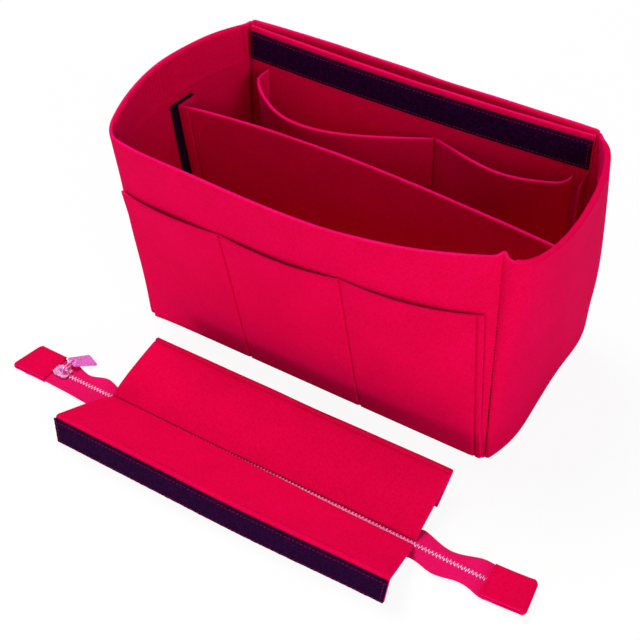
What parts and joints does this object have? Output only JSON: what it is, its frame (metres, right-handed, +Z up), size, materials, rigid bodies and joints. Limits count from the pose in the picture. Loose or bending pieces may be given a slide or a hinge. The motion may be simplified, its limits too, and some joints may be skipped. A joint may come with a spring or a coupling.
{
  "type": "purse organizer insert",
  "caption": "Soft felt basket that stands inside a handbag, with slip pockets, a lift-out divider on hook-and-loop strips, and a separate zip lid with folded fastening flaps.",
  "frame": {"origin": "centre of the basket's underside, on the surface it stands on", "axes": "+X along the basket's length to the right, +Y to its back, +Z up"},
  "size_m": [0.443, 0.3114, 0.198],
  "materials": {
    "felt": "matte pressed felt",
    "hook_loop": "napped strip",
    "zip_tape": "woven tape",
    "zip_metal": "bright, pink-tinted"
  },
  "bodies": {
    "basket": {"base_panel": "felt", "front_panel": "felt", "back_panel": "felt", "back_slip_panel": "felt", "left_end_panel": "felt", "right_end_panel": "felt", "front_pocket_panel": "felt", "inner_pocket_panel": "felt", "left_rim_facing": "felt", "right_rim_facing": "felt", "front_loop_strip": "hook_loop", "back_loop_strip": "hook_loop", "left_wall_strip": "hook_loop", "right_wall_strip": "hook_loop"},
    "divider": {"divider_panel": "felt", "divider_left_hook_strip": "hook_loop", "divider_right_hook_strip": "hook_loop"},
    "lid": {"front_lid_panel": "felt", "back_lid_panel": "felt", "front_tape": "zip_tape", "back_tape": "zip_tape", "front_teeth": "zip_metal", "back_teeth": "zip_metal", "left_tab": "felt", "right_tab": "felt"},
    "front_flap": {"front_flap": "felt", "front_hook_strip": "hook_loop"},
    "back_flap": {"back_flap": "felt", "back_hook_strip": "hook_loop"},
    "slider": {"slider_body": "zip_metal"},
    "link": {"pull_link": "zip_metal"},
    "pull": {"pull_plate": "zip_metal"}
  },
  "joints": [
    {"name": "divider_lift", "type": "slide", "parent": "basket", "child": "divider", "axis": [0, 0, 1], "range_m": [0, 0.2]},
    {"name": "lid_lift", "type": "slide", "parent": "basket", "child": "lid", "axis": [0, -0.5, 0.866], "range_m": [0, 0.2]},
    {"name": "back_flap_fold", "type": "hinge", "parent": "lid", "child": "back_flap", "pos_m": [0.013, -0.1242, 0.0265], "axis": [1, 0, 0], "range_deg": [0, 110]},
    {"name": "front_flap_fold", "type": "hinge", "parent": "lid", "child": "front_flap", "pos_m": [0.013, -0.2235, 0.02726], "axis": [-1, 0, 0], "range_deg": [0, 100]},
    {"name": "slider_travel", "type": "slide", "parent": "lid", "child": "slider", "axis": [1, 0, 0], "range_m": [0, 0.04]},
    {"name": "pull_link_swing", "type": "hinge", "parent": "slider", "child": "link", "pos_m": [-0.1677, -0.175, 0.0095], "axis": [1, 0, 0], "range_deg": [0, 150]},
    {"name": "pull_plate_swing", "type": "hinge", "parent": "link", "child": "pull", "pos_m": [-0.1677, -0.1655, 0.0095], "axis": [1, 0, 0], "range_deg": [0, 60]}
  ]
}
